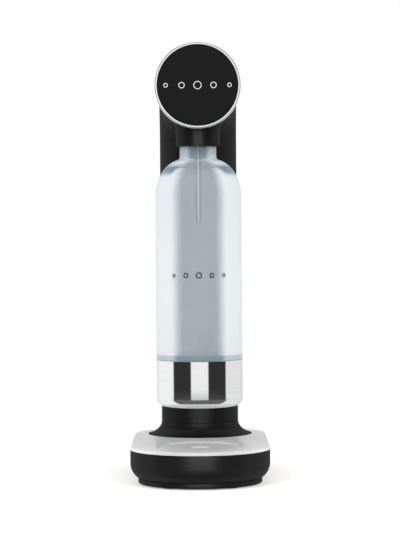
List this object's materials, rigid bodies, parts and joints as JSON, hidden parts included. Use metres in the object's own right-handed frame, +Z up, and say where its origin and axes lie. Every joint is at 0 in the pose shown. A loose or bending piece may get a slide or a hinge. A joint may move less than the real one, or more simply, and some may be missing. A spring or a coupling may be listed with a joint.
{
  "type": "soda carbonator",
  "caption": "Hand-worked soda carbonator: long round-ended base, column with gas cylinder, tap-like head with turning knob, tilting holder and hanging bottle.",
  "frame": {"origin": "on the surface that it stands on, under the middle of the base", "axes": "+Z up, front with the knob and bottle towards -Y, +X to the right seen from the front"},
  "size_m": [0.14, 0.272, 0.436],
  "materials": {
    "satin_black": "satin black moulding, very fine grain",
    "disc_black": "even matt black face",
    "inner_plastic": "plain dark moulding inside",
    "brushed_plate": "fine brushed steel, brushed across",
    "polished_steel": "polished steel",
    "knob_chrome": "bright chrome",
    "zinc_steel": "plain machined steel",
    "spring_steel": "drawn spring wire",
    "cast_alloy": "die-cast alloy",
    "cylinder_steel": "lacquered aluminium cylinder, satin grey",
    "valve_brass": "machined brass",
    "foot_rubber": "soft black rubber",
    "seal_rubber": "food-grade seal rubber",
    "nozzle_plastic": "smooth grey-blue translucent plastic",
    "bottle_clear": "clear blown bottle with a pale blue tint"
  },
  "bodies": {
    "housing": {"base_body": "satin_black", "base_pan": "satin_black", "rubber_feet": "foot_rubber", "base_screws": "zinc_steel", "top_plate": "brushed_plate", "drain_cup": "inner_plastic", "cylinder_cup": "inner_plastic", "column_spine": "inner_plastic", "spine_screws": "zinc_steel", "column_foot": "satin_black", "front_shell": "satin_black", "under_shell": "satin_black", "top_shell": "satin_black", "shell_screws": "zinc_steel", "catch_magnets": "zinc_steel", "valve_bracket": "zinc_steel", "valve_block": "cast_alloy", "valve_block_screws": "zinc_steel", "burst_disc": "valve_brass", "plunger_seal": "seal_rubber", "head_frame": "inner_plastic", "frame_screws": "zinc_steel", "front_plate": "inner_plastic", "front_bearing": "valve_brass", "rear_bearing": "valve_brass", "knob_spring": "spring_steel", "gas_tube": "inner_plastic", "tube_nuts": "valve_brass", "swivel_union": "valve_brass", "hinge_pin": "zinc_steel", "plunger_spring": "spring_steel"},
    "rear_cover": {"rear_cover": "satin_black", "cover_magnets": "zinc_steel"},
    "knob": {"knob_disc": "disc_black", "knob_ring": "knob_chrome", "knob_hub": "inner_plastic", "knob_shaft": "zinc_steel", "knob_cam": "zinc_steel", "shaft_clip": "spring_steel"},
    "plunger": {"plunger": "zinc_steel"},
    "cylinder_seal": {"cylinder_seal": "seal_rubber"},
    "cylinder": {"gas_cylinder": "cylinder_steel", "cylinder_valve": "valve_brass", "valve_pin_spring": "spring_steel"},
    "valve_pin": {"valve_pin": "zinc_steel"},
    "holder": {"holder_body": "satin_black", "neck_seal": "seal_rubber", "lock_ring": "spring_steel", "nozzle_tube": "nozzle_plastic", "nozzle_tip": "nozzle_plastic", "relief_spring": "spring_steel"},
    "relief_poppet": {"relief_poppet": "valve_brass"},
    "bottle": {"bottle": "bottle_clear", "bottle_cup": "polished_steel"}
  },
  "joints": [
    {"name": "knob_turn", "type": "hinge", "parent": "housing", "child": "knob", "pos_m": [0, 0, 0.39375], "axis": [0, 1, 0], "range_deg": [0, 60], "stiffness_Nm_per_rad": 0.25, "springref_deg": -34.38},
    {"name": "plunger_push", "type": "slide", "parent": "housing", "child": "plunger", "axis": [0, 0, -1], "range_m": [0, 0.003], "deforming": ["plunger_spring"]},
    {"name": "cylinder_lower", "type": "slide", "parent": "housing", "child": "cylinder_seal", "axis": [0, 0, -1], "range_m": [0, 0.01]},
    {"name": "cylinder_unscrew", "type": "hinge", "parent": "cylinder_seal", "child": "cylinder", "pos_m": [0, 0.066, 0.363], "axis": [0, 0, 1], "range_deg": [0, 900]},
    {"name": "valve_pin_push", "type": "slide", "parent": "cylinder", "child": "valve_pin", "axis": [0, 0, -1], "range_m": [0, 0.003], "deforming": ["valve_pin_spring"]},
    {"name": "holder_tilt", "type": "hinge", "parent": "housing", "child": "holder", "pos_m": [0, -0.066, 0.368], "axis": [-1, 0, 0], "range_deg": [0, 20]},
    {"name": "relief_lift", "type": "slide", "parent": "holder", "child": "relief_poppet", "axis": [0, 0, 1], "range_m": [0, 0.0015], "stiffness_N_per_m": 2000, "springref_m": -0.002, "deforming": ["relief_spring"]},
    {"name": "bottle_drop", "type": "slide", "parent": "holder", "child": "bottle", "axis": [0, 0, -1], "range_m": [0, 0.03]},
    {"name": "cover_pull", "type": "slide", "parent": "housing", "child": "rear_cover", "axis": [0, 1, 0], "range_m": [0, 0.04]}
  ],
  "couplings": [
    {"joint": "plunger_push", "follows": "knob_turn", "m_per_rad": 0.0028648},
    {"joint": "valve_pin_push", "follows": "knob_turn", "m_per_rad": 0.0028648},
    {"joint": "cylinder_lower", "follows": "cylinder_unscrew", "m_per_rad": 0.00063662}
  ]
}
